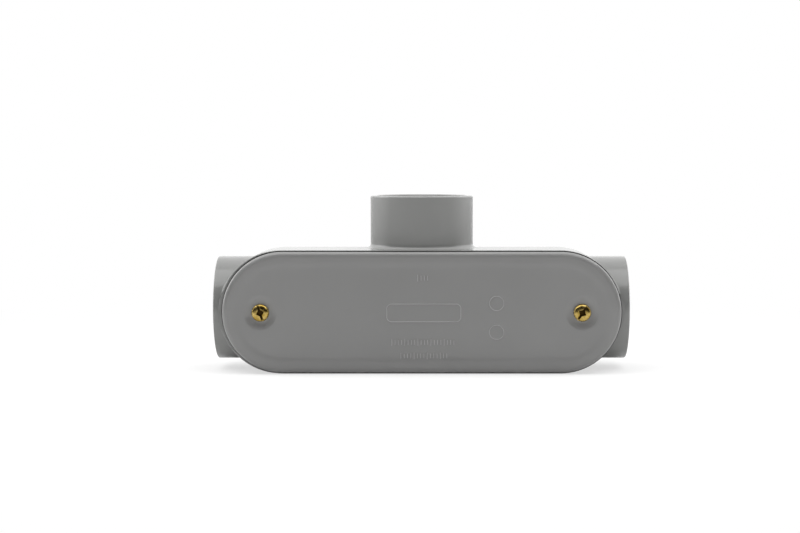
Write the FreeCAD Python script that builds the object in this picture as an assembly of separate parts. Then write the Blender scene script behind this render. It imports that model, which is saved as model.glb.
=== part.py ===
import FreeCAD, Part
import math
import os

# T-type conduit body in moulded rigid PVC, with its flat cover, gasket and cover screws.
#
# X runs along the straight run, Y goes from the cover into the body, Z points up the branch.
# The origin lies under the middle of the part, on the surface that its long side stands on.
# Lengths are in millimetres, angles in degrees. A "depth" is measured along +Y.

# ---- what the body joins -------------------------------------------------------------------
CONDUIT_OD = 42.16          # rigid PVC conduit, trade size 35
SOCKET_PLAY = 0.12          # radial room for the conduit and its cement
SOCKET_DEPTH = 24.0         # how far the conduit goes into a run hub
SOCKET_WALL = 3.8
STOP_LENGTH = 5.6           # shoulder that stops the conduit, behind each run socket
BRANCH_STOP = 5.2           # the same between the branch socket and the wire room
STOP_LIP = 3.2              # radial step of that shoulder
MOUTH_CHAMFER = 1.0
MOUTH_ROUND = 0.7           # outside edge of a mouth
THROAT_ROUND = 1.6          # smooth lip that the wires are pulled over in a run throat
THROAT_BEVEL = 1.2          # the same for the branch throat

# ---- the body -------------------------------------------------------------------------------
RUN_LENGTH = 199.0          # mouth to mouth
BRANCH_REACH = 54.7         # run axis to the branch mouth
SIDE_BULGE = 4.3            # flat side wall outside the run hub
BACK_BULGE = 0.6            # flat back outside the run hub
WALL = 3.8
BACK_CORNER = 22.0          # outside radius between a side wall and the back
RIM_BEVEL = 0.3
BRANCH_ROUND = 2.0          # fillet at the foot of the branch
COLLAR_ROUND = 1.2          # fillet where a run hub leaves the tub
POCKET_DEPTH = 15.0         # cored pockets beside each run socket, below the rim

# ---- cover, gasket and rim ------------------------------------------------------------------
COVER_THICKNESS = 3.2
COVER_EDGE_ROUND = 0.9
COVER_END_GAP = 4.75        # run mouth to the end of the cover
COVER_SIDE_GAP = 0.4        # rim showing along each long side of the cover
RIM_SHOWS = {"left": 1.5, "right": 0.85}    # rim showing past each end of the cover
COVER_SHIFT = 0.25          # the cover sits this far over in its screw play
BORDER_WIDTH = 4.6          # raised flat border of the cover
FIELD_SLOPE = 2.4           # width of the soft step inside the border
FIELD_DEPTH = 0.22
GASKET_THICKNESS = 1.4
GASKET_PROUD = 0.3          # the gasket shows as a dark line round the cover

# ---- end lobes of the rim -------------------------------------------------------------------
LOBE_PROUD = {"left": 0.45, "right": 1.1}   # lobe past the rim
LOBE_HALF_WIDTH = 8.5
PRY_NOTCH_RADIUS = 1.5
PRY_NOTCH_DEPTH = 0.9

# ---- cover screws and their inserts ---------------------------------------------------------
SCREW_INSET = 18.65         # screw to the end of the cover
SCREW_LENGTH = 9.5          # under the head
SHANK_RADIUS = 2.0
SHANK_PLAY = 0.6            # radial room in the cover and the gasket
HEAD_RADIUS = 4.13
HEAD_HEIGHT = 2.4
HEAD_SIDE = 0.9             # upright part of the head's side
HEAD_TOP_RADIUS = 1.6       # flat in the middle of the domed top
SLOT_WIDTH = 1.15
SLOT_DEPTH = 1.1
SQUARE_WIDTH = 2.85
SQUARE_DEPTH = 1.8
SLOT_ANGLE = {"left": 108.0, "right": 56.0}
SQUARE_TO_SLOT = 45.0       # the slot crosses the square drive from corner to corner
DISH_DEPTH = 0.7            # dish in the cover that the head sits in
DISH_FLOOR_MARGIN = 0.6
DISH_SLOPE = 2.7
TIP_ROOM = 0.3              # below the screw's tip
BOSS_FLOOR = 0.7            # plastic left between the screw hole and the socket
BOSS_WALL = 2.5
INSERT_LENGTH = 5.0
INSERT_WALL = 1.1
INSERT_WAIST = 0.35         # groove that locks the insert in the plastic
INSERT_BAND = 1.6           # full-width band at each end of the insert
THREAD_GAP = 0.05
MOULD_GAP = 0.02

# Corners of a quarter round drawn with flats, as shares of its radius: across it, and along it.
QUARTER_ROUND = [(0.0, 1.0), (0.134, 0.5), (0.5, 0.134), (1.0, 0.0)]

# ---- worked out -----------------------------------------------------------------------------
SIDES = {"left": -1, "right": 1}

socket_radius = CONDUIT_OD / 2 + SOCKET_PLAY
hub_radius = socket_radius + SOCKET_WALL
throat_radius = socket_radius - STOP_LIP
tub_radius = hub_radius + SIDE_BULGE
branch_socket_depth = BRANCH_REACH - (tub_radius - WALL) - BRANCH_STOP
cover_radius = tub_radius - COVER_SIDE_GAP

grip = COVER_THICKNESS - DISH_DEPTH + GASKET_THICKNESS
hole_depth = SCREW_LENGTH - grip + TIP_ROOM         # from the rim
run_axis_depth = hole_depth + BOSS_FLOOR + socket_radius    # from the rim
body_depth = run_axis_depth + hub_radius + BACK_BULGE
side_flat_depth = body_depth - BACK_CORNER

total_depth = HEAD_HEIGHT - DISH_DEPTH + COVER_THICKNESS + GASKET_THICKNESS + body_depth
cover_front = -total_depth / 2 + HEAD_HEIGHT - DISH_DEPTH
cover_back = cover_front + COVER_THICKNESS
rim = cover_back + GASKET_THICKNESS
run_axis_y = rim + run_axis_depth
back = rim + body_depth
run_axis_z = tub_radius

cover_half = RUN_LENGTH / 2 - COVER_END_GAP
tub_half = {side: cover_half + RIM_SHOWS[side] for side in SIDES}
screw_x = cover_half - SCREW_INSET
stop_end = RUN_LENGTH / 2 - SOCKET_DEPTH - STOP_LENGTH
insert_radius = SHANK_RADIUS + THREAD_GAP + INSERT_WALL
boss_radius = insert_radius + BOSS_WALL
dish_floor_radius = HEAD_RADIUS + DISH_FLOOR_MARGIN

ALONG_Y = FreeCAD.Vector(0, 1, 0)
EPS = 1.0                   # how far a cutting solid runs past what it cuts


def point(x, y, z):
    return FreeCAD.Vector(x, y, z)


def face_of(edges):
    return Part.Face(Part.Wire(Part.__sortEdges__(edges)))


def line(a, b):
    return Part.LineSegment(a, b).toShape()


def arc(a, middle, b):
    return Part.Arc(a, middle, b).toShape()


def obround_wire(x_left, x_right, radius, y):
    """Round-ended outline at depth y, from x_left to x_right at its tips."""
    height = run_axis_z
    a = x_left + radius
    b = x_right - radius
    return Part.Wire([
        line(point(a, y, height + radius), point(b, y, height + radius)),
        arc(point(b, y, height + radius), point(x_right, y, height), point(b, y, height - radius)),
        line(point(b, y, height - radius), point(a, y, height - radius)),
        arc(point(a, y, height - radius), point(x_left, y, height), point(a, y, height + radius)),
    ])


def obround_prism(x_left, x_right, radius, y_from, y_to):
    face = Part.Face(obround_wire(x_left, x_right, radius, y_from))
    return face.extrude(point(0, y_to - y_from, 0))


def upright(x, radius, y_from, y_to):
    """Cylinder along Y at height of the run axis."""
    return Part.makeCylinder(radius, y_to - y_from, point(x, y_from, run_axis_z), ALONG_Y)


def block(x_from, x_to, y_from, y_to, z_from, z_to):
    corner = point(x_from, y_from, z_from)
    return Part.makeBox(x_to - x_from, y_to - y_from, z_to - z_from, corner)


def edges_where(shape, wanted):
    return [edge for edge in shape.Edges if wanted(edge)]


# ---- housing --------------------------------------------------------------------------------
def tub_half_profile(x, inset, y_open):
    """Half of the tub's cross-section in the plane at x, drawn inset by a wall."""
    radius = tub_radius - inset
    corner = BACK_CORNER - inset
    floor = back - inset
    turn = rim + side_flat_depth
    slant = corner * math.sqrt(0.5)
    z = run_axis_z
    return face_of([
        line(point(x, y_open, z), point(x, y_open, z + radius)),
        line(point(x, y_open, z + radius), point(x, turn, z + radius)),
        arc(point(x, turn, z + radius),
            point(x, turn + slant, z + radius - corner + slant),
            point(x, floor, z + radius - corner)),
        line(point(x, floor, z + radius - corner), point(x, floor, z)),
        line(point(x, floor, z), point(x, y_open, z)),
    ])


def tub(inset, y_open):
    """Long tub with round ends and a rounded back, inset by a wall where asked."""
    x_left = -tub_half["left"] + tub_radius
    x_right = tub_half["right"] - tub_radius
    upper = tub_half_profile(x_left, inset, y_open).extrude(point(x_right - x_left, 0, 0))
    lower = upper.mirror(point(0, 0, run_axis_z), point(0, 0, 1))
    left = tub_half_profile(x_left, inset, y_open)
    left = left.revolve(point(x_left, 0, run_axis_z), point(0, -1, 0), 180)
    right = tub_half_profile(x_right, inset, y_open)
    right = right.revolve(point(x_right, 0, run_axis_z), point(0, 1, 0), 180)
    return upper.fuse([lower, left, right]).removeSplitter()


def revolved(start, axis, outline):
    """Solid of revolution about the axis from start, from (distance along, radius) corners."""
    side = point(0, 1, 0)
    corners = [start + FreeCAD.Vector(axis).multiply(along) + FreeCAD.Vector(side).multiply(radius)
               for along, radius in outline]
    return Part.Face(Part.makePolygon(corners)).revolve(start, axis, 360)


def hub(start, axis, reach):
    """Round hub from start to its mouth, with the outside edge rounded."""
    edge = [(reach - along * MOUTH_ROUND, hub_radius - across * MOUTH_ROUND)
            for across, along in QUARTER_ROUND]
    return revolved(start, axis, [(0, 0), (0, hub_radius)] + edge + [(reach, 0), (0, 0)])


def socket_cut(mouth, inward, socket_depth, depth):
    """Chamfered socket down to its floor and the throat behind it, depth long in all."""
    flare = socket_radius + MOUTH_CHAMFER + EPS
    return revolved(mouth, inward, [
        (-EPS, 0), (-EPS, flare), (MOUTH_CHAMFER, socket_radius),
        (socket_depth, socket_radius), (socket_depth, throat_radius),
        (depth, throat_radius), (depth, 0), (-EPS, 0),
    ])


def throat_lip(mouth, inward):
    """Round that opens a run throat towards the wire room."""
    room = SOCKET_DEPTH + STOP_LENGTH
    lip = [(room - along * THROAT_ROUND, throat_radius + across * THROAT_ROUND)
           for across, along in QUARTER_ROUND]
    start = room - THROAT_ROUND
    return revolved(mouth, inward, [(start, 0)] + lip + [(room, 0), (start, 0)])


def end_lobe(side):
    """Low crescent on the end of the rim, standing on the run hub."""
    sign = SIDES[side]
    tip = tub_half[side] + LOBE_PROUD[side]
    shoulder = tub_half[side] - tub_radius + math.sqrt(tub_radius ** 2 - LOBE_HALF_WIDTH ** 2)
    rise = tip - shoulder
    radius = (LOBE_HALF_WIDTH ** 2 + rise ** 2) / (2 * rise)
    crest = run_axis_depth - hub_radius
    return upright(sign * (tip - radius), radius, rim, rim + crest + SOCKET_WALL / 2)


def pry_notch():
    """Rounded nick in the left lobe, where a blade starts to lift the cover."""
    tip = -tub_half["left"] - LOBE_PROUD["left"]
    x = tip + PRY_NOTCH_DEPTH - PRY_NOTCH_RADIUS
    return upright(x, PRY_NOTCH_RADIUS, rim - EPS, rim + run_axis_depth - hub_radius)


def insert_outline(gap):
    """Round insert with a waist, along Y from the rim plane."""
    full = insert_radius + gap
    waist = full - INSERT_WAIST
    return [
        (0, 0), (full, 0), (full, INSERT_BAND), (waist, INSERT_BAND + INSERT_WAIST),
        (waist, INSERT_LENGTH - INSERT_BAND - INSERT_WAIST), (full, INSERT_LENGTH - INSERT_BAND),
        (full, INSERT_LENGTH), (0, INSERT_LENGTH), (0, 0),
    ]


def turned(x, outline, y_from):
    """Solid of revolution about the screw axis at x from (radius, depth) corners."""
    corners = [point(x + r, y_from + d, run_axis_z) for r, d in outline]
    face = Part.Face(Part.makePolygon(corners))
    return face.revolve(point(x, 0, run_axis_z), ALONG_Y, 360)


def mouths():
    """Each hub's mouth: its middle, and the way out of it."""
    centre = point(0, run_axis_y, run_axis_z)
    ways = {"left": point(-1, 0, 0), "right": point(1, 0, 0), "branch": point(0, 0, 1)}
    reach = {"left": RUN_LENGTH / 2, "right": RUN_LENGTH / 2, "branch": BRANCH_REACH}
    return {name: (centre + FreeCAD.Vector(way).multiply(reach[name]), way, reach[name])
            for name, way in ways.items()}


def lies_on(edge, radius, distance):
    """True where the whole edge is the given radius from an axis, by the distance function."""
    return all(abs(distance(p) - radius) < 1e-3 for p in edge.discretize(7))


def from_run_axis(p):
    return math.hypot(p.y - run_axis_y, p.z - run_axis_z)


def from_branch_axis(p):
    return math.hypot(p.x, p.y - run_axis_y)


def housing_outside():
    """Tub, end lobes and three hubs as one solid, with the moulded-in corners rounded."""
    tub_solid = tub(0, rim)
    rim_edges = edges_where(tub_solid, lambda e: abs(e.BoundBox.YMax - rim) < 1e-6)
    tub_solid = tub_solid.makeChamfer(RIM_BEVEL, rim_edges)
    hubs = {name: hub(end - FreeCAD.Vector(way).multiply(reach), way, reach)
            for name, (end, way, reach) in mouths().items()}

    lobes = [end_lobe(side) for side in SIDES]
    solid = tub_solid.fuse([hubs["branch"]] + lobes).removeSplitter()
    foot = edges_where(solid, lambda e: lies_on(e, hub_radius, from_branch_axis)
                       and e.CenterOfMass.z < run_axis_z + BRANCH_REACH - 2 * MOUTH_ROUND)
    solid = solid.makeFillet(BRANCH_ROUND, foot)

    solid = solid.fuse([hubs["left"], hubs["right"]])
    collars = edges_where(solid, lambda e: lies_on(e, hub_radius, from_run_axis)
                          and stop_end < abs(e.CenterOfMass.x) < RUN_LENGTH / 2 - 2 * MOUTH_ROUND
                          and not on_lobe(e))
    return solid.makeFillet(COLLAR_ROUND, collars)


def on_lobe(edge):
    """True for the edges where an end lobe stands on its hub."""
    return edge.CenterOfMass.y < run_axis_y \
        and abs(edge.CenterOfMass.z - run_axis_z) < LOBE_HALF_WIDTH


def housing_inside():
    """What is hollow behind the rim: the wire room and the pockets beside the run sockets."""
    half_run = RUN_LENGTH / 2
    room = tub(WALL, rim - EPS)
    wide = 2 * tub_radius + EPS
    middle = block(-stop_end, stop_end, rim - EPS, back, 0, wide)
    front = block(-half_run, half_run, rim - EPS, rim + POCKET_DEPTH, 0, wide)
    start = point(-half_run, run_axis_y, run_axis_z)
    run_tubes = Part.makeCylinder(hub_radius, RUN_LENGTH, start, point(1, 0, 0))
    return [room.common(middle), room.common(front).cut(run_tubes)]


def screw_bosses():
    bottom = rim + hole_depth + BOSS_FLOOR / 2
    return [upright(sign * screw_x, boss_radius, rim, bottom) for sign in SIDES.values()]


def housing():
    solid = housing_outside().cut(housing_inside()).fuse(screw_bosses())
    past_stop = RUN_LENGTH / 2 - stop_end + EPS
    depths = {"left": (SOCKET_DEPTH, past_stop), "right": (SOCKET_DEPTH, past_stop),
              "branch": (branch_socket_depth, BRANCH_REACH)}
    cuts = []
    for name, (end, way, _) in mouths().items():
        inward = FreeCAD.Vector(way).negative()
        cuts.append(socket_cut(end, inward, *depths[name]))
        if name in SIDES:
            cuts.append(throat_lip(end, inward))
    for sign in SIDES.values():
        cuts.append(turned(sign * screw_x, insert_outline(MOULD_GAP), rim))
        cuts.append(upright(sign * screw_x, SHANK_RADIUS + TIP_ROOM, rim, rim + hole_depth))
    cuts.append(pry_notch())
    solid = solid.cut(cuts).removeSplitter()

    socket_floor = run_axis_z + BRANCH_REACH - branch_socket_depth
    branch_throat = edges_where(solid, lambda e: lies_on(e, throat_radius, from_branch_axis)
                                and e.BoundBox.ZMin > run_axis_z
                                and e.BoundBox.ZMax < socket_floor - 1e-3
                                and e.Curve.TypeId != "Part::GeomLine")
    return solid.makeChamfer(THROAT_BEVEL, branch_throat)


# ---- cover and gasket -----------------------------------------------------------------------
def cover():
    left = -cover_half + COVER_SHIFT
    right = cover_half + COVER_SHIFT
    outlines = []
    for across, along in reversed(QUARTER_ROUND):
        inset = across * COVER_EDGE_ROUND
        outlines.append(obround_wire(left + inset, right - inset, cover_radius - inset,
                                     cover_front + along * COVER_EDGE_ROUND))
    outlines.append(obround_wire(left, right, cover_radius, cover_back))
    plate = Part.makeLoft(outlines, True, True)

    outer = BORDER_WIDTH
    inner = BORDER_WIDTH + FIELD_SLOPE
    field = Part.makeLoft([
        obround_wire(left + outer, right - outer, cover_radius - outer, cover_front),
        obround_wire(left + inner, right - inner, cover_radius - inner,
                     cover_front + FIELD_DEPTH),
    ], True, True)
    cuts = [field]
    for sign in SIDES.values():
        cuts.append(dish(sign * screw_x))
        cuts.append(upright(sign * screw_x, SHANK_RADIUS + SHANK_PLAY,
                            cover_front, cover_back + EPS))
    return plate.cut(cuts)


def dish(x):
    """Shallow cone with a flat floor under the screw head."""
    slope = DISH_SLOPE / DISH_DEPTH
    return turned(x, [
        (0, -EPS), (dish_floor_radius + DISH_SLOPE + EPS * slope, -EPS),
        (dish_floor_radius, DISH_DEPTH), (0, DISH_DEPTH), (0, -EPS),
    ], cover_front)


def gasket():
    left = -cover_half + COVER_SHIFT - GASKET_PROUD
    right = cover_half + COVER_SHIFT + GASKET_PROUD
    sheet = obround_prism(left, right, cover_radius + GASKET_PROUD, cover_back, rim)
    holes = [upright(sign * screw_x, SHANK_RADIUS + SHANK_PLAY, cover_back - EPS, rim + EPS)
             for sign in SIDES.values()]
    return sheet.cut(holes)


# ---- screws and inserts ---------------------------------------------------------------------
def cover_screw(side):
    """Pan-head screw with a slot that crosses a square drive."""
    x = SIDES[side] * screw_x
    seat = cover_front + DISH_DEPTH
    top = seat - HEAD_HEIGHT
    shoulder = seat - HEAD_SIDE
    z = run_axis_z
    length = HEAD_HEIGHT + SCREW_LENGTH
    shoulder = HEAD_HEIGHT - HEAD_SIDE
    tip_chamfer = SHANK_RADIUS / 4
    dome_width = HEAD_RADIUS - HEAD_TOP_RADIUS
    dome = [(HEAD_TOP_RADIUS + (1 - across) * dome_width, along * shoulder)
            for across, along in reversed(QUARTER_ROUND)]
    screw = turned(x, [(0, 0)] + dome + [
        (HEAD_RADIUS, HEAD_HEIGHT), (SHANK_RADIUS, HEAD_HEIGHT),
        (SHANK_RADIUS, length - tip_chamfer), (SHANK_RADIUS - tip_chamfer, length),
        (0, length), (0, 0),
    ], top)

    slot = block(x - 2 * HEAD_RADIUS, x + 2 * HEAD_RADIUS, top - EPS, top + SLOT_DEPTH,
                 z - SLOT_WIDTH / 2, z + SLOT_WIDTH / 2)
    half = SQUARE_WIDTH / 2
    square = block(x - half, x + half, top - EPS, top + SQUARE_DEPTH, z - half, z + half)
    square.rotate(point(x, 0, z), ALONG_Y, SQUARE_TO_SLOT)
    recess = slot.fuse(square)
    recess.rotate(point(x, 0, z), ALONG_Y, -SLOT_ANGLE[side])
    return screw.cut(recess)


def thread_insert(side):
    """Brass insert that the body is moulded around."""
    x = SIDES[side] * screw_x
    blank = turned(x, insert_outline(0), rim)
    return blank.cut(upright(x, SHANK_RADIUS + THREAD_GAP, rim - EPS, rim + INSERT_LENGTH + EPS))


pieces = {"housing": housing(), "cover": cover(), "gasket": gasket()}
for side in SIDES:
    pieces["cover_screw_" + side] = cover_screw(side)
    pieces["thread_insert_" + side] = thread_insert(side)

os.makedirs("parts", exist_ok=True)
for name, shape in pieces.items():
    shape.exportStep("parts/" + name + ".step")
    print(name, "valid" if shape.isValid() else "NOT VALID", len(shape.Solids), "solid(s)",
          round(shape.Volume, 1), "mm3")
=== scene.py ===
import math

import bmesh
import bpy
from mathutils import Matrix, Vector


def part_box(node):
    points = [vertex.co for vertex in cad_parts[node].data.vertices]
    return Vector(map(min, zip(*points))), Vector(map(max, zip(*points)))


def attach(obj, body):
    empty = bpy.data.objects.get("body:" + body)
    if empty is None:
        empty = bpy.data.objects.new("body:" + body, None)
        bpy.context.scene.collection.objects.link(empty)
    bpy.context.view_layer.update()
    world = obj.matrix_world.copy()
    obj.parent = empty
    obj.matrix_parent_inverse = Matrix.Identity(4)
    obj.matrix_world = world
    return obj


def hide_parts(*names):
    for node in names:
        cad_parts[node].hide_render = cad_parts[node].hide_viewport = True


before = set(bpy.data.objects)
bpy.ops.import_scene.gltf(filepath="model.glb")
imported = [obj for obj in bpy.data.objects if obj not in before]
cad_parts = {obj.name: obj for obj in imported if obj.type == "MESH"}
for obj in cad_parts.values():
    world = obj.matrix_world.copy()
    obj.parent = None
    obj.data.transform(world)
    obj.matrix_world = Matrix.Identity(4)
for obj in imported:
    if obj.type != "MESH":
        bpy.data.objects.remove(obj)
bpy.context.view_layer.update()

# T-type conduit body in moulded grey PVC: the looks of its pieces. Lengths are in metres.
# X runs along the straight run, Y goes from the cover into the body, Z points up the branch.

MM = 0.001


# ---- where things are, taken from the frame --------------------------------------------------
cover_low, cover_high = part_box("cover")
insert_low, insert_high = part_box("thread_insert_left")
left_screw_low, left_screw_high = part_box("cover_screw_left")
right_screw_low, right_screw_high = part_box("cover_screw_right")

axis_height = (cover_low.z + cover_high.z) / 2
left_screw = (left_screw_low.x + left_screw_high.x) / 2
right_screw = (right_screw_low.x + right_screw_high.x) / 2
head_top = left_screw_low.y

# The screws' dome, which their shape and their finish share.
HEAD_RADIUS = 4.13 * MM
HEAD_HEIGHT = 2.4 * MM
HEAD_SIDE = 0.9 * MM
HEAD_FLAT = 1.5 * MM


# ---- numbers in node trees --------------------------------------------------------------------
def plug(item, socket):
    """Link a field to a socket, or set a plain value on it."""
    if isinstance(item, Field):
        item.tree.links.new(item.output, socket)
    else:
        socket.default_value = item


class Field:
    """A value inside a node tree. Sums and products of fields become Math nodes."""

    def __init__(self, tree, output):
        self.tree = tree
        self.output = output

    def combine(self, operation, other=0.0, swap=False):
        node = self.tree.nodes.new("ShaderNodeMath")
        node.operation = operation
        first, second = (other, self) if swap else (self, other)
        plug(first, node.inputs[0])
        plug(second, node.inputs[1])
        return Field(self.tree, node.outputs[0])

    def __add__(self, other):
        return self.combine("ADD", other)

    def __sub__(self, other):
        return self.combine("SUBTRACT", other)

    def __rsub__(self, other):
        return self.combine("SUBTRACT", other, swap=True)

    def __mul__(self, other):
        return self.combine("MULTIPLY", other)

    def __truediv__(self, other):
        return self.combine("DIVIDE", other)

    def sine(self):
        return self.combine("SINE")

    def cosine(self):
        return self.combine("COSINE")

    def absolute(self):
        return self.combine("ABSOLUTE")

    def root(self):
        return self.combine("SQRT")

    def power(self, exponent):
        return self.combine("POWER", exponent)

    def remainder(self, divisor):
        return self.combine("MODULO", divisor)

    def wave(self):
        """Straight-sided wave from 0 to 1 and back, once for each whole number."""
        return self.combine("PINGPONG", 0.5) * 2

    def ramp(self, from_low, from_high, to_low, to_high, smooth=False):
        """Clamped change from one range to another."""
        node = self.tree.nodes.new("ShaderNodeMapRange")
        node.interpolation_type = "SMOOTHSTEP" if smooth else "LINEAR"
        for name, item in (("Value", self), ("From Min", from_low), ("From Max", from_high),
                           ("To Min", to_low), ("To Max", to_high)):
            plug(item, node.inputs[name])
        return Field(self.tree, node.outputs["Result"])


def step(tree, kind, output="Geometry", settings=None, **values):
    """Add a node, fill its sockets by name, and give one output as a field."""
    node = tree.nodes.new(kind)
    for name, value in (settings or {}).items():
        setattr(node, name, value)
    for name, value in values.items():
        plug(value, node.inputs[name.replace("_", " ")])
    return Field(tree, node.outputs[output])


def vector(tree, x, y, z):
    return step(tree, "ShaderNodeCombineXYZ", "Vector", X=x, Y=y, Z=z)


def split(tree, place):
    """The X, Y and Z of a vector, as fields."""
    node = tree.nodes.new("ShaderNodeSeparateXYZ")
    plug(place, node.inputs["Vector"])
    return [Field(tree, output) for output in node.outputs]


# ---- finishes ---------------------------------------------------------------------------------
# Patterns of noise: about how many spots there are to a metre, and how much detail each spot has.
TONE_CLOUDS = (26, 3)
HANDLING_SCUFFS = (60, 3)
ORANGE_PEEL = (700, 2)
RUBBER_GRAIN = (1800, 3)
BRASS_STAINS = (500, 4)

# The stretch of a noise's values over which a finish goes from one end of its range to the other.
SOFT_CHANGE = (0.1, 0.9)
FIRM_CHANGE = (0.3, 0.7)
CRISP_CHANGE = (0.35, 0.65)

GRAIN_DEPTH = 0.1 * MM
PEEL_STRENGTH = 0.03
RUBBER_STRENGTH = 0.2
RUBBER_ROUGHNESS = (0.6, 0.8)
BRASS_ROUGHNESS = (0.2, 0.32)
PVC_IOR = 1.5

# Painted shade in the drive of a screw, a dark colour with more roughness: how far below the dome
# it starts and is full, and how far in from the head's edge.
DRIVE_SHADE_COLOUR = (0.05, 0.03, 0.008)
DRIVE_ROUGHNESS = 0.3
DRIVE_SHADE_START = 0.12 * MM
DRIVE_SHADE_FULL = 0.9 * MM
DRIVE_SHADE_EDGE = 0.15 * MM
DRIVE_SHADE_INSIDE = 0.35 * MM

# Sockets of a Mix node that is set to colours. Their names are shared with its other sockets.
MIX_FACTOR = 0
MIX_FIRST = 6
MIX_SECOND = 7
MIX_RESULT = 2


def noise(tree, at, pattern):
    scale, detail = pattern
    return step(tree, "ShaderNodeTexNoise", "Fac", Vector=at, Scale=scale, Detail=detail)


def mix_colours(tree, factor, first, second):
    """Colour between two others. The first may be a plain colour or a field."""
    node = tree.nodes.new("ShaderNodeMix")
    node.data_type = "RGBA"
    plug(factor, node.inputs[MIX_FACTOR])
    plug(first if isinstance(first, Field) else (*first, 1), node.inputs[MIX_FIRST])
    plug((*second, 1), node.inputs[MIX_SECOND])
    return Field(tree, node.outputs[MIX_RESULT])


def mix_shaders(tree, factor, first, second):
    node = tree.nodes.new("ShaderNodeMixShader")
    for socket, item in zip(node.inputs, (factor, first, second)):
        plug(item, socket)
    return Field(tree, node.outputs["Shader"])


def bump(tree, height, strength):
    return step(tree, "ShaderNodeBump", "Normal", Strength=strength, Distance=GRAIN_DEPTH,
                Height=height)


def new_material(name):
    """Material with a bare shader, and the place of each point on the object."""
    material = bpy.data.materials.new(name)
    material.use_nodes = True
    tree = material.node_tree
    tree.nodes.clear()
    shader = tree.nodes.new("ShaderNodeBsdfPrincipled")
    output = tree.nodes.new("ShaderNodeOutputMaterial")
    tree.links.new(shader.outputs["BSDF"], output.inputs["Surface"])
    return material, tree, shader.inputs, step(tree, "ShaderNodeTexCoord", "Object")


def moulded_pvc(name, dark, light, least_rough, most_rough):
    """Smooth grey PVC: slow changes of tone, patches of other gloss, faint orange peel."""
    material, tree, surface, at = new_material(name)
    tone = noise(tree, at, TONE_CLOUDS).ramp(*SOFT_CHANGE, 0, 1)
    scuffs = noise(tree, at, HANDLING_SCUFFS).ramp(*SOFT_CHANGE, least_rough, most_rough)
    peel = noise(tree, at, ORANGE_PEEL)
    plug(mix_colours(tree, tone, dark, light), surface["Base Color"])
    plug(scuffs, surface["Roughness"])
    plug(bump(tree, peel, PEEL_STRENGTH), surface["Normal"])
    surface["IOR"].default_value = PVC_IOR
    return material


def soft_rubber(name, dark, light):
    """Near-black rubber with a fine matt grain."""
    material, tree, surface, at = new_material(name)
    grain = noise(tree, at, RUBBER_GRAIN)
    plug(mix_colours(tree, grain, dark, light), surface["Base Color"])
    plug(grain.ramp(*FIRM_CHANGE, *RUBBER_ROUGHNESS), surface["Roughness"])
    plug(bump(tree, grain, RUBBER_STRENGTH), surface["Normal"])
    return material


def plated_brass(name, dark, light, drive_shade=None):
    """Bright brass with faint staining, and painted shade with more roughness where the shade mask is
    1.
    """
    material, tree, surface, at = new_material(name)
    stains = noise(tree, at, BRASS_STAINS)
    colour = mix_colours(tree, stains.ramp(*CRISP_CHANGE, 0, 1), dark, light)
    roughness = stains.ramp(*FIRM_CHANGE, *BRASS_ROUGHNESS)
    if drive_shade:
        # Painted shade: the drive is darkened where the mask is 1, and made rougher.
        mask = drive_shade(tree, at)
        colour = mix_colours(tree, mask, colour, DRIVE_SHADE_COLOUR)
        roughness = roughness + mask * DRIVE_ROUGHNESS
    plug(colour, surface["Base Color"])
    plug(roughness, surface["Roughness"])
    surface["Metallic"].default_value = 1.0
    return material


def below_the_dome(tree, at):
    """1 in the slot and the square drive of either screw head, 0 on its dome and side: where painted
    shade goes.
    """
    x, y, z = split(tree, at)
    away = x.absolute() - right_screw
    up = z - axis_height
    radius = (away * away + up * up).root()
    share = radius.ramp(HEAD_FLAT, HEAD_RADIUS, 0.0, 1.0)
    dome = (1 - (1 - share * share).root()) * (HEAD_HEIGHT - HEAD_SIDE)
    under = y - head_top - dome
    return under.ramp(DRIVE_SHADE_START, DRIVE_SHADE_FULL, 0.0, 1.0) \
        * radius.ramp(HEAD_RADIUS - DRIVE_SHADE_INSIDE, HEAD_RADIUS - DRIVE_SHADE_EDGE, 1.0, 0.0)


grey_pvc = moulded_pvc("grey_pvc", (0.205, 0.207, 0.202), (0.225, 0.227, 0.221), 0.15, 0.23)
cover_pvc = moulded_pvc("grey_pvc_cover", (0.20, 0.20, 0.197), (0.222, 0.222, 0.219), 0.17, 0.25)
# The raised marks are coloured lighter than the cover as a painted highlight for the shine on their
# rounded edges; their lower roughness makes them glossier.
painted_highlight_pvc = moulded_pvc("painted_highlight_pvc", (0.30, 0.30, 0.297), (0.34, 0.34, 0.336), 0.12, 0.2)
gasket_rubber = soft_rubber("gasket_rubber", (0.012, 0.012, 0.012), (0.03, 0.03, 0.028))
# The screws' slots and drives are darkened with painted shade through the below_the_dome mask.
screw_brass = plated_brass("screw_brass", (0.27, 0.18, 0.035), (0.47, 0.35, 0.12), below_the_dome)
insert_brass = plated_brass("insert_brass", (0.55, 0.40, 0.14), (0.72, 0.55, 0.22))

NODE_FINISHES = {
    "housing": grey_pvc,
    "cover": cover_pvc,
    "gasket": gasket_rubber,
    "cover_screw_left": screw_brass,
    "cover_screw_right": screw_brass,
    "thread_insert_left": insert_brass,
    "thread_insert_right": insert_brass,
}
for node_name, finish in NODE_FINISHES.items():
    for material_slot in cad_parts[node_name].material_slots:
        material_slot.material = finish


# ---- steps that the shapes share --------------------------------------------------------------
CREASE = math.radians(40)
HOUSING_CREASE = math.radians(32)
FACE_WEIGHT = 100                # the housing's shading follows its large faces

# Points nearer to each other than this are made one.
PLATE_SEAM = 0.005 * MM
TURNED_SEAM = 0.003 * MM
HOUSING_SEAM = 0.0005 * MM
DRILL_SEAM = 0.03 * MM


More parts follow.
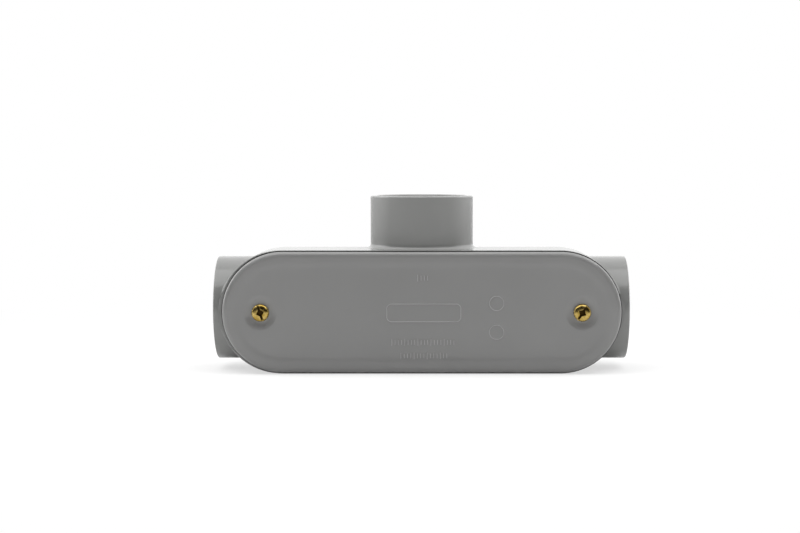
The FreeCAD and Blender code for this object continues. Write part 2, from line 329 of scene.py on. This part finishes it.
def new_tree(name, sizes):
    """Geometry tree with a named input for each size, and those inputs as fields."""
    tree = bpy.data.node_groups.new(name, "GeometryNodeTree")
    tree.interface.new_socket("Geometry", in_out="OUTPUT", socket_type="NodeSocketGeometry")
    for label in sizes:
        tree.interface.new_socket(label, in_out="INPUT", socket_type="NodeSocketFloat")
    given = tree.nodes.new("NodeGroupInput")
    return tree, {label: Field(tree, given.outputs[label]) for label in sizes}


def place_now(tree):
    """The X, Y and Z of each point, as fields."""
    return split(tree, step(tree, "GeometryNodeInputPosition", "Position"))


def unit_sheet(tree, around, rings):
    """Flat sheet to be bent into a surface, with how far each point is along its two sides."""
    sheet = step(tree, "GeometryNodeMeshGrid", "Mesh", Size_X=1.0, Size_Y=1.0,
                 Vertices_X=around + 1, Vertices_Y=rings + 1)
    x, y, _ = place_now(tree)
    return sheet, x + 0.5, y + 0.5


def ring_marks(rings):
    """Where each stretch of the rings starts and ends, from 0 to 1, by name, and their number."""
    total = sum(rings.values())
    marks = {}
    done = 0
    for name, count in rings.items():
        marks[name] = (done / total, (done + count) / total)
        done += count
    return marks, total


def closed_skin(tree, sheet, place, seam):
    """Sheet bent into its place, with its seams and poles merged and its faces outwards."""
    skin = step(tree, "GeometryNodeSetPosition", Geometry=sheet, Position=place)
    skin = step(tree, "GeometryNodeMergeByDistance", Geometry=skin, Distance=seam)
    return step(tree, "GeometryNodeFlipFaces", "Mesh", Mesh=skin)


def turned_skin(tree, sheet, turn, radius, depth):
    """Sheet bent round the Y axis, as a lathe turns a section."""
    place = vector(tree, radius * turn.cosine(), depth, radius * turn.sine())
    return closed_skin(tree, sheet, place, TURNED_SEAM)


def within(v, stretch, parts):
    """1 along a stretch of the rings, falling to 0 over one part of it at either end."""
    start, end = stretch
    edge = (end - start) / parts
    return v.ramp(start, start + edge, 0.0, 1.0) * v.ramp(end - edge, end, 1.0, 0.0)


def cut_away(tree, mesh, cutters):
    """The mesh with the shape of each cutter taken out."""
    cut = tree.nodes.new("GeometryNodeMeshBoolean")
    cut.operation = "DIFFERENCE"
    plug(mesh, cut.inputs["Mesh 1"])
    for cutter in cutters:
        plug(cutter, cut.inputs["Mesh 2"])
    return Field(tree, cut.outputs["Mesh"])


def at_both_screws(tree, size, piece, **turned):
    """The piece at the left and at the right screw."""
    points = step(tree, "GeometryNodeMeshLine", "Mesh", Count=2,
                  Start_Location=vector(tree, size["Left"], size["Top"], size["Axis Height"]),
                  Offset=vector(tree, size["Right"] - size["Left"], 0.0, 0.0))
    return step(tree, "GeometryNodeInstanceOnPoints", "Instances", Points=points, Instance=piece,
                **turned)


def finish_tree(tree, geometry, material):
    real = step(tree, "GeometryNodeRealizeInstances", Geometry=geometry)
    painted = step(tree, "GeometryNodeSetMaterial", Geometry=real, Material=material)
    out = tree.nodes.new("NodeGroupOutput")
    plug(painted, out.inputs["Geometry"])


def make_piece(name, tree, sizes):
    """Run a tree with its sizes and keep the result as a plain mesh that rides on the body."""
    piece = bpy.data.objects.new(name, bpy.data.meshes.new(name))
    bpy.context.scene.collection.objects.link(piece)
    modifier = piece.modifiers.new(name, "NODES")
    modifier.node_group = tree
    for item in tree.interface.items_tree:
        if item.in_out == "INPUT":
            modifier[item.identifier] = float(sizes[item.name])
    ready = piece.evaluated_get(bpy.context.evaluated_depsgraph_get())
    mesh = bpy.data.meshes.new_from_object(ready)
    piece.modifiers.clear()
    piece.data = mesh
    mesh.name = name
    mesh.shade_smooth()
    mesh.set_sharp_from_angle(angle=CREASE)
    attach(piece, "root")
    return piece


# ---- cover ------------------------------------------------------------------------------------
EDGE_TRIM = 0.12 * MM            # lets the gasket's edge show as a dark line round the cover
FIELD_DEPTH = 0.12 * MM
COVER_SIZES = {
    "Left Tip": cover_low.x + EDGE_TRIM,
    "Right Tip": cover_high.x - EDGE_TRIM,
    "Radius": (cover_high.z - cover_low.z) / 2 - EDGE_TRIM,
    "Axis Height": axis_height,
    "Front": cover_low.y,
    "Thickness": cover_high.y - cover_low.y,
    "Edge Width": 2.5 * MM,
    "Edge Depth": 1.9 * MM,
    "Draft": 0.3 * MM,
    "Border": 4.6 * MM,
    "Slope": 3.4 * MM,
    "Field Depth": FIELD_DEPTH,
    "Screw Left": left_screw,
    "Screw Right": right_screw,
    "Dish Depth": 0.5 * MM,
    "Dish Floor": 4.73 * MM,
    "Dish Rim": 8.4 * MM,
    "Hole": 2.6 * MM,
    "Sink": 0.07 * MM,
    "Steps Around": 620,
}
COVER_RINGS = {"field": 30, "slope": 6, "border": 6, "round": 7, "side": 3, "back": 14}
BIT_CORNERS = 60
BIT_TURN = math.radians(0.8)     # keeps the hole's corners off the lines of the sheet
DENT_DEPTHS = (0.3, 0.6)         # shares of the thickness between which a dent in the front ends
SINK_REACH = (0.62, 0.8)         # shares of the radius between which the moulding's sink ends
SINK_WAVES = (26.0, 1.0)         # how many to a metre, and their detail


def cover_tree(material):
    """Round-ended plate: a section swept round its outline and closed along its middle line."""
    tree, size = new_tree("cover_plate", COVER_SIZES)
    radius = size["Radius"]
    edge = size["Edge Depth"]
    marks, rings = ring_marks(COVER_RINGS)
    sheet, u, v = unit_sheet(tree, size["Steps Around"], rings)

    quarter = radius * (math.pi / 2)
    straight = size["Right Tip"] - size["Left Tip"] - radius * 2
    s = u * (quarter * 4 + straight * 2)
    top_end = quarter + straight
    left_end = top_end + quarter * 2
    bottom_end = left_end + straight
    turn = s.ramp(0.0, quarter, 0.0, math.pi / 2) + s.ramp(top_end, left_end, 0.0, math.pi) \
        + s.ramp(bottom_end, bottom_end + quarter, 0.0, math.pi / 2)
    along = size["Right Tip"] - radius - s.ramp(quarter, top_end, 0.0, straight) \
        + s.ramp(left_end, bottom_end, 0.0, straight)

    bend = v.ramp(*marks["round"], 0.0, math.pi / 2)
    reach = v.ramp(*marks["field"], 0.0, radius - size["Border"] - size["Slope"]) \
        + v.ramp(*marks["slope"], 0.0, size["Slope"]) \
        + v.ramp(*marks["border"], 0.0, size["Border"] - size["Edge Width"]) \
        + size["Edge Width"] * bend.sine() - v.ramp(*marks["side"], 0.0, size["Draft"]) \
        - v.ramp(*marks["back"], 0.0, radius - size["Draft"])
    depth = v.ramp(*marks["slope"], size["Field Depth"], 0.0, smooth=True) \
        + edge * (1 - bend.cosine()) + v.ramp(*marks["side"], 0.0, size["Thickness"] - edge)
    place = vector(tree, along + reach * turn.cosine(), size["Front"] + depth,
                   size["Axis Height"] + reach * turn.sine())
    plate = closed_skin(tree, sheet, place, PLATE_SEAM)

    x, y, z = place_now(tree)
    across = z - size["Axis Height"]
    front = y.ramp(size["Front"] + size["Thickness"] * DENT_DEPTHS[0],
                   size["Front"] + size["Thickness"] * DENT_DEPTHS[1], 1.0, 0.0)
    sag = size["Sink"] * step(tree, "ShaderNodeTexNoise", "Fac", Scale=SINK_WAVES[0],
                              Detail=SINK_WAVES[1])
    sink = sag * across.absolute().ramp(radius * SINK_REACH[0], radius * SINK_REACH[1], 1.0, 0.0,
                                        smooth=True)
    for side in ("Screw Left", "Screw Right"):
        gap = x - size[side]
        away = (gap * gap + across * across).root()
        sink = sink + away.ramp(size["Dish Floor"], size["Dish Rim"], size["Dish Depth"], 0.0,
                                smooth=True)
    plate = step(tree, "GeometryNodeSetPosition", Geometry=plate,
                 Offset=vector(tree, 0.0, sink * front, 0.0))

    bits = []
    for side in ("Screw Left", "Screw Right"):
        bit = step(tree, "GeometryNodeMeshCylinder", "Mesh", Vertices=BIT_CORNERS,
                   Radius=size["Hole"], Depth=size["Thickness"] * 3)
        bits.append(step(tree, "GeometryNodeTransform", Geometry=bit,
                         Translation=vector(tree, size[side], size["Front"], size["Axis Height"]),
                         Rotation=(math.pi / 2, BIT_TURN, 0)))
    plate = step(tree, "GeometryNodeMergeByDistance", Geometry=cut_away(tree, plate, bits),
                 Distance=DRILL_SEAM)
    finish_tree(tree, plate, material)
    return tree


# ---- raised marks on the cover ----------------------------------------------------------------
MARK_SIZES = {
    "Line": 0.24 * MM,
    "Middle": (cover_low.x + cover_high.x) / 2,
    "Height": axis_height,
    "Surface": cover_low.y + FIELD_DEPTH,
    "Frame Length": 35 * MM,
    "Frame Height": 8.4 * MM,
    "Frame Corner": 2.2 * MM,
    "Badge Radius": 3.4 * MM,
    "Stroke": 2.6 * MM,
    "Pitch": 1.55 * MM,
}
# Places are along and up from the middle of the cover.
FRAME_PLACE = (1 * MM, 0.0)
BADGE_PLACES = ((35.4 * MM, 4.5 * MM), (35.4 * MM, -9.2 * MM))
STROKE_ROWS = ((4, 0.4 * MM, 16.5 * MM), (20, 0.5 * MM, -14.0 * MM), (15, 1.0 * MM, -20.4 * MM))
TALL_EVERY = 4.0
TALL_SHARE = 1.25
SHORT_SHARE = 0.9
CORNER_STEPS = 8
BADGE_STEPS = 48
LINE_STEPS = 10


def strokes(tree, size, count):
    """Row of plain upright strokes, every fourth one taller."""
    row = step(tree, "GeometryNodeMeshLine", "Mesh", Count=count,
               Start_Location=vector(tree, size["Pitch"] * ((1 - count) / 2), 0.0, 0.0),
               Offset=vector(tree, size["Pitch"], 0.0, 0.0))
    half = size["Stroke"] / 2
    bar = step(tree, "GeometryNodeCurvePrimitiveLine", "Curve",
               Start=vector(tree, 0.0, 0.0, 0 - half), End=vector(tree, 0.0, 0.0, half))
    order = step(tree, "GeometryNodeInputIndex", "Index")
    tall = order.remainder(TALL_EVERY).ramp(0.0, 1.0, TALL_SHARE, SHORT_SHARE)
    return step(tree, "GeometryNodeInstanceOnPoints", "Instances", Points=row, Instance=bar,
                Scale=vector(tree, 1.0, 1.0, tall))


def marks_tree(material):
    """Blank frame, two blank badges and rows of plain strokes, all in one raised line width."""
    tree, size = new_tree("cover_marks", MARK_SIZES)
    join = tree.nodes.new("GeometryNodeJoinGeometry")

    def add(geometry, x, z, tip=math.pi / 2):
        """Put a flat mark on the cover. Tip stands up what was drawn lying down."""
        moved = step(tree, "GeometryNodeTransform", Geometry=geometry, Rotation=(tip, 0, 0),
                     Translation=vector(tree, x, 0.0, z))
        plug(moved, join.inputs["Geometry"])

    border = step(tree, "GeometryNodeCurvePrimitiveQuadrilateral", "Curve",
                  Width=size["Frame Length"], Height=size["Frame Height"])
    add(step(tree, "GeometryNodeFilletCurve", "Curve", settings={"mode": "POLY"}, Curve=border,
             Count=CORNER_STEPS, Radius=size["Frame Corner"]), *FRAME_PLACE)
    for x, z in BADGE_PLACES:
        add(step(tree, "GeometryNodeCurvePrimitiveCircle", "Curve", Resolution=BADGE_STEPS,
                 Radius=size["Badge Radius"]), x, z)
    for count, x, z in STROKE_ROWS:
        add(strokes(tree, size, count), x, z, tip=0.0)
    lines = step(tree, "GeometryNodeRealizeInstances", Geometry=Field(tree, join.outputs[0]))
    profile = step(tree, "GeometryNodeCurvePrimitiveCircle", "Curve", Resolution=LINE_STEPS,
                   Radius=size["Line"])
    tube = step(tree, "GeometryNodeCurveToMesh", "Mesh", Curve=lines, Profile_Curve=profile,
                Fill_Caps=True)
    tube = step(tree, "GeometryNodeTransform", Geometry=tube, Translation=vector(
        tree, size["Middle"], size["Surface"], size["Height"]))
    finish_tree(tree, tube, material)
    return tree


# ---- screws -----------------------------------------------------------------------------------
SCREW_SIZES = {
    "Left": left_screw,
    "Right": right_screw,
    "Axis Height": axis_height,
    "Top": head_top,
    "Length": left_screw_high.y - head_top,
    "Head Radius": HEAD_RADIUS,
    "Head Height": HEAD_HEIGHT,
    "Head Side": HEAD_SIDE,
    "Head Flat": HEAD_FLAT,
    "Shank": 2.0 * MM,
    "Pitch": 0.8 * MM,
    "Thread Depth": 0.4 * MM,
    "Slot Width": 1.15 * MM,
    "Slot Depth": 1.1 * MM,
    "Square Width": 2.85 * MM,
    "Square Depth": 1.8 * MM,
    "Left Turn": math.radians(108),
    "Right Turn": math.radians(56),
    "Steps Around": 72,
}
SCREW_RINGS = {"flat": 5, "dome": 14, "side": 4, "under": 5, "shank": 104, "tip": 3, "end": 3}
THREAD_PARTS = 16                # the thread starts and ends over one part in so many
SQUARE_TILT = math.pi / 4        # the square's corners lie along the slot


def screw_tree(material):
    """Pan-head screw turned from a section, threaded, with a slot across a square drive."""
    tree, size = new_tree("cover_screw", SCREW_SIZES)
    marks, rings = ring_marks(SCREW_RINGS)
    sheet, u, v = unit_sheet(tree, size["Steps Around"], rings)
    turn = u * (2 * math.pi)
    bend = v.ramp(*marks["dome"], 0.0, math.pi / 2)
    shoulder = size["Head Height"] - size["Head Side"]
    chamfer = size["Thread Depth"]
    radius = v.ramp(*marks["flat"], 0.0, size["Head Flat"]) \
        + (size["Head Radius"] - size["Head Flat"]) * bend.sine() \
        - v.ramp(*marks["under"], 0.0, size["Head Radius"] - size["Shank"]) \
        - v.ramp(*marks["tip"], 0.0, chamfer) - v.ramp(*marks["end"], 0.0, size["Shank"] - chamfer)
    shank = size["Length"] - size["Head Height"] - chamfer
    depth = shoulder * (1 - bend.cosine()) + v.ramp(*marks["side"], 0.0, size["Head Side"]) \
        + v.ramp(*marks["shank"], 0.0, shank) + v.ramp(*marks["tip"], 0.0, chamfer)
    cut = within(v, marks["shank"], THREAD_PARTS)
    helix = (depth / size["Pitch"] + u).wave()
    radius = radius - size["Thread Depth"] * cut * helix
    blank = turned_skin(tree, sheet, turn, radius, depth)

    cutters = []
    for length, width, deep, tilt in (
            (size["Head Radius"] * 3, size["Slot Width"], size["Slot Depth"], 0.0),
            (size["Square Width"], size["Square Width"], size["Square Depth"], SQUARE_TILT)):
        cutter = step(tree, "GeometryNodeMeshCube", "Mesh",
                      Size=vector(tree, length, deep * 2, width))
        cutters.append(step(tree, "GeometryNodeTransform", Geometry=cutter,
                            Rotation=(0, tilt, 0)))
    order = step(tree, "GeometryNodeInputIndex", "Index")
    angle = order.ramp(0.0, 1.0, size["Left Turn"], size["Right Turn"])
    pair = at_both_screws(tree, size, cut_away(tree, blank, cutters),
                          Rotation=vector(tree, 0.0, 0 - angle, 0.0))
    finish_tree(tree, pair, material)
    return tree


# ---- threaded inserts -------------------------------------------------------------------------
INSERT_SIZES = {
    "Left": left_screw,
    "Right": right_screw,
    "Axis Height": axis_height,
    "Top": insert_low.y,
    "Length": insert_high.y - insert_low.y,
    "Outside": (insert_high.x - insert_low.x) / 2,
    "Bore": 2.05 * MM,
    "Band": 1.6 * MM,
    "Waist": 0.35 * MM,
    "Knurl": 0.16 * MM,
    "Ribs": 40,
    "Steps Around": 240,
}
INSERT_RINGS = {"top": 3, "band": 10, "in": 2, "waist": 6, "out": 2, "foot": 10, "under": 3,
                "bore": 10}
KNURL_PARTS = 5                  # the knurl starts and ends over one part in so many


def insert_tree(material):
    """Brass insert: two knurled bands with a waist between them, and a plain bore."""
    tree, size = new_tree("thread_insert", INSERT_SIZES)
    marks, rings = ring_marks(INSERT_RINGS)
    sheet, u, v = unit_sheet(tree, size["Steps Around"], rings)
    wall = size["Outside"] - size["Bore"]
    turn = u * (2 * math.pi)
    waist = size["Waist"]
    plain = size["Length"] - (size["Band"] + waist) * 2
    radius = size["Bore"] + v.ramp(*marks["top"], 0.0, wall) - v.ramp(*marks["in"], 0.0, waist) \
        + v.ramp(*marks["out"], 0.0, waist) - v.ramp(*marks["under"], 0.0, wall)
    depth = v.ramp(*marks["band"], 0.0, size["Band"]) + v.ramp(*marks["in"], 0.0, waist) \
        + v.ramp(*marks["waist"], 0.0, plain) + v.ramp(*marks["out"], 0.0, waist) \
        + v.ramp(*marks["foot"], 0.0, size["Band"]) - v.ramp(*marks["bore"], 0.0, size["Length"])
    bands = within(v, marks["band"], KNURL_PARTS) + within(v, marks["foot"], KNURL_PARTS)
    teeth = (u * size["Ribs"]).wave() * size["Knurl"]
    sleeve = turned_skin(tree, sheet, turn, radius - teeth * bands, depth)
    finish_tree(tree, at_both_screws(tree, size, sleeve), material)
    return tree


# ---- housing ----------------------------------------------------------------------------------
def smoothed(name, node, material):
    """Merged copy of a moulded piece, shaded smooth over its rounds and flat on its flats."""
    shell = bmesh.new()
    shell.from_mesh(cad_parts[node].data)
    bmesh.ops.remove_doubles(shell, verts=shell.verts, dist=HOUSING_SEAM)
    mesh = bpy.data.meshes.new(name)
    shell.to_mesh(mesh)
    shell.free()
    old_shading = mesh.attributes.get("custom_normal")
    if old_shading:
        mesh.attributes.remove(old_shading)
    mesh.materials.clear()
    mesh.materials.append(material)
    mesh.shade_smooth()
    mesh.set_sharp_from_angle(angle=HOUSING_CREASE)
    piece = bpy.data.objects.new(name, mesh)
    bpy.context.scene.collection.objects.link(piece)
    even_shading = piece.modifiers.new("even_shading", "WEIGHTED_NORMAL")
    even_shading.keep_sharp = True
    even_shading.weight = FACE_WEIGHT
    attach(piece, "root")
    return piece


# ---- the pieces -------------------------------------------------------------------------------
cover_plate = make_piece("cover_plate", cover_tree(cover_pvc), COVER_SIZES)
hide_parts("cover")

cover_marks = make_piece("cover_marks", marks_tree(painted_highlight_pvc), MARK_SIZES)

cover_screws = make_piece("cover_screws", screw_tree(screw_brass), SCREW_SIZES)
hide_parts("cover_screw_left", "cover_screw_right")

thread_inserts = make_piece("thread_inserts", insert_tree(insert_brass), INSERT_SIZES)
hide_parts("thread_insert_left", "thread_insert_right")

housing_shell = smoothed("housing_shell", "housing", grey_pvc)
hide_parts("housing")


# ---- stage ------------------------------------------------------------------------------------
FLOOR_HALF = 12.0
FLOOR_DROP = 0.05 * MM
FLOOR_TONE = 0.86
FLOOR_FADE = (0.1, 0.4)          # metres from the middle between which it runs out to white
FLOOR_GLOW = 0.62                # share of plain white that the camera sees near the object

# How bright the walls are. An edge is how far back a direction points where a wall starts and
# where it is at its full level, from -1 towards the camera to 1 straight behind the object.
BACK_WALL = 1.25
BACK_WALL_EDGE = (0.16, 0.28)
LEFT_WALL = 3.5
RIGHT_WALL = 3.0
SIDE_WALL_EDGE = (-0.28, 0.06)
SIDE_REACH = 0.92                # a side wall is brightest in this direction, out and up
SIDE_RISE = 0.39
SIDE_FOCUS = 6.0

SOFTBOX_PLACE = (0, -0.13, 0.42)
SOFTBOX_WIDTH = 0.9
SOFTBOX_DEPTH = 0.36
SOFTBOX_POWER = 2.8

CAMERA_PLACE = (0.0067, -0.83855, 0.1041)
CAMERA_TILT = 0.0651             # radians below level
LENS = 77.48                     # millimetres, as the sensor's width is
SENSOR_WIDTH = 36
LENS_SHIFT = -0.0443
NEAREST_SEEN = 0.01


def studio_floor():
    """White floor that keeps the object's shadow and runs out to plain white."""
    mesh = bpy.data.meshes.new("studio_floor")
    corners = [(x * FLOOR_HALF, y * FLOOR_HALF, 0) for x, y in ((-1, -1), (1, -1), (1, 1), (-1, 1))]
    mesh.from_pydata(corners, [], [(0, 1, 2, 3)])
    floor = bpy.data.objects.new("studio_floor", mesh)
    floor.location.z = -FLOOR_DROP
    bpy.context.scene.collection.objects.link(floor)

    material = bpy.data.materials.new("studio_white")
    material.use_nodes = True
    tree = material.node_tree
    tree.nodes.clear()
    reach = step(tree, "ShaderNodeVectorMath", "Value", {"operation": "LENGTH"},
                 Vector=step(tree, "ShaderNodeTexCoord", "Object"))
    seen = step(tree, "ShaderNodeLightPath", "Is Camera Ray")
    matt = step(tree, "ShaderNodeBsdfDiffuse", "BSDF",
                Color=(FLOOR_TONE, FLOOR_TONE, FLOOR_TONE, 1))
    glow = step(tree, "ShaderNodeEmission", "Emission", Color=(1, 1, 1, 1), Strength=1.0)
    white = seen * reach.ramp(*FLOOR_FADE, FLOOR_GLOW, 1.0, smooth=True)
    output = tree.nodes.new("ShaderNodeOutputMaterial")
    plug(mix_shaders(tree, white, matt, glow), output.inputs["Surface"])
    mesh.materials.append(material)


def side_wall(x, z, side, level):
    """Soft patch of light out to one side and a little up: side is -1 at the left, 1 at the right."""
    facing = (x * (side * SIDE_REACH) + z * SIDE_RISE).ramp(0.0, 1.0, 0.0, 1.0)
    return facing.power(SIDE_FOCUS) * level


def studio_world():
    """White behind the object, pale at both sides, dark where the camera stands."""
    world = bpy.data.worlds.new("studio")
    bpy.context.scene.world = world
    world.use_nodes = True
    tree = world.node_tree
    tree.nodes.clear()
    x, y, z = split(tree, step(tree, "ShaderNodeTexCoord", "Generated"))
    back = y.ramp(*BACK_WALL_EDGE, 0.0, BACK_WALL, smooth=True)
    beside = y.ramp(*SIDE_WALL_EDGE, 0.0, 1.0)
    sides = side_wall(x, z, -1, LEFT_WALL) + side_wall(x, z, 1, RIGHT_WALL)
    room = step(tree, "ShaderNodeBackground", "Background", Color=(1, 1, 1, 1),
                Strength=back + sides * beside)
    white = step(tree, "ShaderNodeBackground", "Background", Color=(1, 1, 1, 1), Strength=1.0)
    seen = step(tree, "ShaderNodeLightPath", "Is Camera Ray")
    output = tree.nodes.new("ShaderNodeOutputWorld")
    plug(mix_shaders(tree, seen, room, white), output.inputs["Surface"])


def softbox():
    """Wide soft lamp over the object and a little before it, shining straight down."""
    light = bpy.data.lights.new("top_softbox", "AREA")
    light.shape = "RECTANGLE"
    light.size = SOFTBOX_WIDTH
    light.size_y = SOFTBOX_DEPTH
    light.energy = SOFTBOX_POWER
    lamp = bpy.data.objects.new("top_softbox", light)
    lamp.location = SOFTBOX_PLACE
    bpy.context.scene.collection.objects.link(lamp)


def camera():
    """Long lens a little higher than the branch, tipped down towards the body."""
    lens = bpy.data.cameras.new("camera")
    lens.sensor_width = SENSOR_WIDTH
    lens.lens = LENS
    lens.shift_x = LENS_SHIFT
    lens.clip_start = NEAREST_SEEN
    stand = bpy.data.objects.new("camera", lens)
    stand.location = CAMERA_PLACE
    stand.rotation_euler = (math.pi / 2 - CAMERA_TILT, 0, 0)
    bpy.context.scene.collection.objects.link(stand)
    bpy.context.scene.camera = stand


studio_floor()
studio_world()
softbox()
camera()
bpy.context.scene.view_settings.view_transform = "Standard"

bpy.context.view_layer.update()
